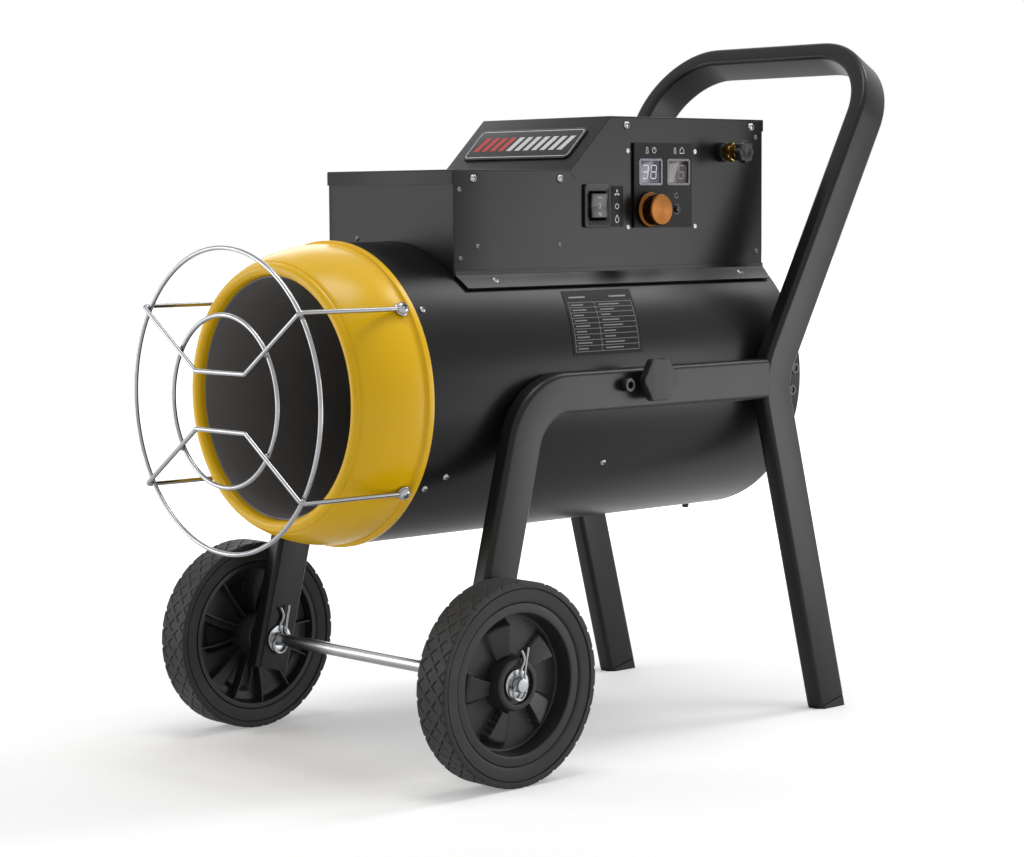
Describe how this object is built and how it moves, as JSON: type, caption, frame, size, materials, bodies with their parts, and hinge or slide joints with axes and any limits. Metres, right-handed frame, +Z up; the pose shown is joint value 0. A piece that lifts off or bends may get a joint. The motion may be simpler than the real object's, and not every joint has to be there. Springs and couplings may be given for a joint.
{
  "type": "forced air heater",
  "caption": "Wheeled barrel heater on a bent tube cart: a fan blows air through a gas burner tube, and the barrel tilts on two side pivots clamped by star knobs.",
  "frame": {"origin": "on the floor, under the middle of the heater's bounding box", "axes": "+X towards the push handle, hot air leaves towards -X, controls on the -Y side, +Z up"},
  "size_m": [0.6226, 0.343, 0.5546],
  "materials": {
    "frame_paint": "satin dark grey powder coat",
    "panel_paint": "satin dark grey powder coat",
    "cowl_paint": "gloss yellow paint",
    "heat_steel": "dull heat-stained steel",
    "zinc": "bright zinc plate",
    "fan_metal": "plain sheet",
    "motor_housing": "satin black casting",
    "stainless": "bright drawn wire",
    "bolt_black": "black oxide",
    "black_plastic": "fine matt texture",
    "gloss_black": "gloss",
    "tyre_rubber": "matt rubber",
    "brass": "machined",
    "copper": "drawn copper",
    "knob_copper": "copper-coloured anodised, spun face",
    "ceramic": "glazed ceramic",
    "circuit_board": "green solder mask"
  },
  "bodies": {
    "cart": {"handle_tube": "frame_paint", "side_frame_left": "frame_paint", "side_frame_right": "frame_paint", "foot_cap_left": "black_plastic", "foot_cap_right": "black_plastic", "axle": "zinc", "axle_washer_inner_left": "zinc", "axle_washer_inner_right": "zinc", "axle_washer_outer_left": "zinc", "axle_washer_outer_right": "zinc", "clip_inner_left": "stainless", "clip_inner_right": "stainless", "clip_outer_left": "stainless", "clip_outer_right": "stainless"},
    "heater": {"barrel_shell": "panel_paint", "control_box": "panel_paint", "top_cover": "panel_paint", "rear_grille": "panel_paint", "front_cowl": "cowl_paint", "flame_tube": "heat_steel", "burner_plate": "heat_steel", "burner_cone": "heat_steel", "guard_screw_upper_left": "zinc", "guard_screw_upper_right": "zinc", "guard_screw_lower_left": "zinc", "guard_screw_lower_right": "zinc", "motor_bracket": "zinc", "fan_motor": "motor_housing", "guard_outer_ring": "stainless", "guard_inner_ring": "stainless", "guard_upper_wire": "stainless", "guard_lower_wire": "stainless", "thermocouple": "stainless", "pivot_bolt_left": "bolt_black", "pivot_bolt_right": "bolt_black", "rocker_bezel": "black_plastic", "cable_gland": "black_plastic", "ignition_transformer": "black_plastic", "badge_plate": "gloss_black", "controller_plate": "gloss_black", "display_module": "gloss_black", "valve_body": "brass", "gas_manifold": "brass", "gas_inlet": "brass", "gas_pipe": "copper", "spark_electrode": "ceramic", "control_board": "circuit_board"},
    "wheel_left": {"wheel_hub_left": "black_plastic", "tyre_left": "tyre_rubber"},
    "wheel_right": {"wheel_hub_right": "black_plastic", "tyre_right": "tyre_rubber"},
    "fan": {"fan": "fan_metal"},
    "mode_rocker": {"mode_rocker": "gloss_black"},
    "temperature_knob": {"temperature_knob": "knob_copper"},
    "reset_button": {"reset_button": "black_plastic"},
    "valve_knob": {"valve_knob": "black_plastic"},
    "star_knob_left": {"star_knob_left": "black_plastic"},
    "star_knob_right": {"star_knob_right": "black_plastic"}
  },
  "joints": [
    {"name": "heater_tilt", "type": "hinge", "parent": "cart", "child": "heater", "pos_m": [-0.02633, 0, 0.282], "axis": [0, 1, 0], "range_deg": [0, 12]},
    {"name": "left_wheel_spin", "type": "hinge", "parent": "cart", "child": "wheel_left", "pos_m": [-0.17113, -0.1545, 0.075], "axis": [0, 1, 0], "continuous": true},
    {"name": "right_wheel_spin", "type": "hinge", "parent": "cart", "child": "wheel_right", "pos_m": [-0.17113, 0.1545, 0.075], "axis": [0, 1, 0], "continuous": true},
    {"name": "fan_spin", "type": "hinge", "parent": "heater", "child": "fan", "pos_m": [0.10087, 0, 0.278], "axis": [-1, 0, 0], "continuous": true},
    {"name": "mode_rocker_tip", "type": "hinge", "parent": "heater", "child": "mode_rocker", "pos_m": [0.00052, -0.07, 0.4174], "axis": [1, 0, 0], "range_deg": [-10, 10]},
    {"name": "temperature_knob_turn", "type": "hinge", "parent": "heater", "child": "temperature_knob", "pos_m": [0.05687, -0.082, 0.414], "axis": [0, 1, 0], "range_deg": [-140, 140]},
    {"name": "reset_button_press", "type": "slide", "parent": "heater", "child": "reset_button", "axis": [0, 1, 0], "range_m": [0, 0.002], "stiffness_N_per_m": 400, "springref_m": -0.0015},
    {"name": "valve_knob_turn", "type": "hinge", "parent": "heater", "child": "valve_knob", "pos_m": [0.14487, -0.094, 0.46], "axis": [0, 1, 0], "range_deg": [0, 270]},
    {"name": "left_star_knob_turn", "type": "hinge", "parent": "heater", "child": "star_knob_left", "pos_m": [0.00047, -0.137, 0.2849], "axis": [0, -1, 0], "range_deg": [0, 360]},
    {"name": "right_star_knob_turn", "type": "hinge", "parent": "heater", "child": "star_knob_right", "pos_m": [0.00047, 0.137, 0.2849], "axis": [0, 1, 0], "range_deg": [0, 360]}
  ]
}
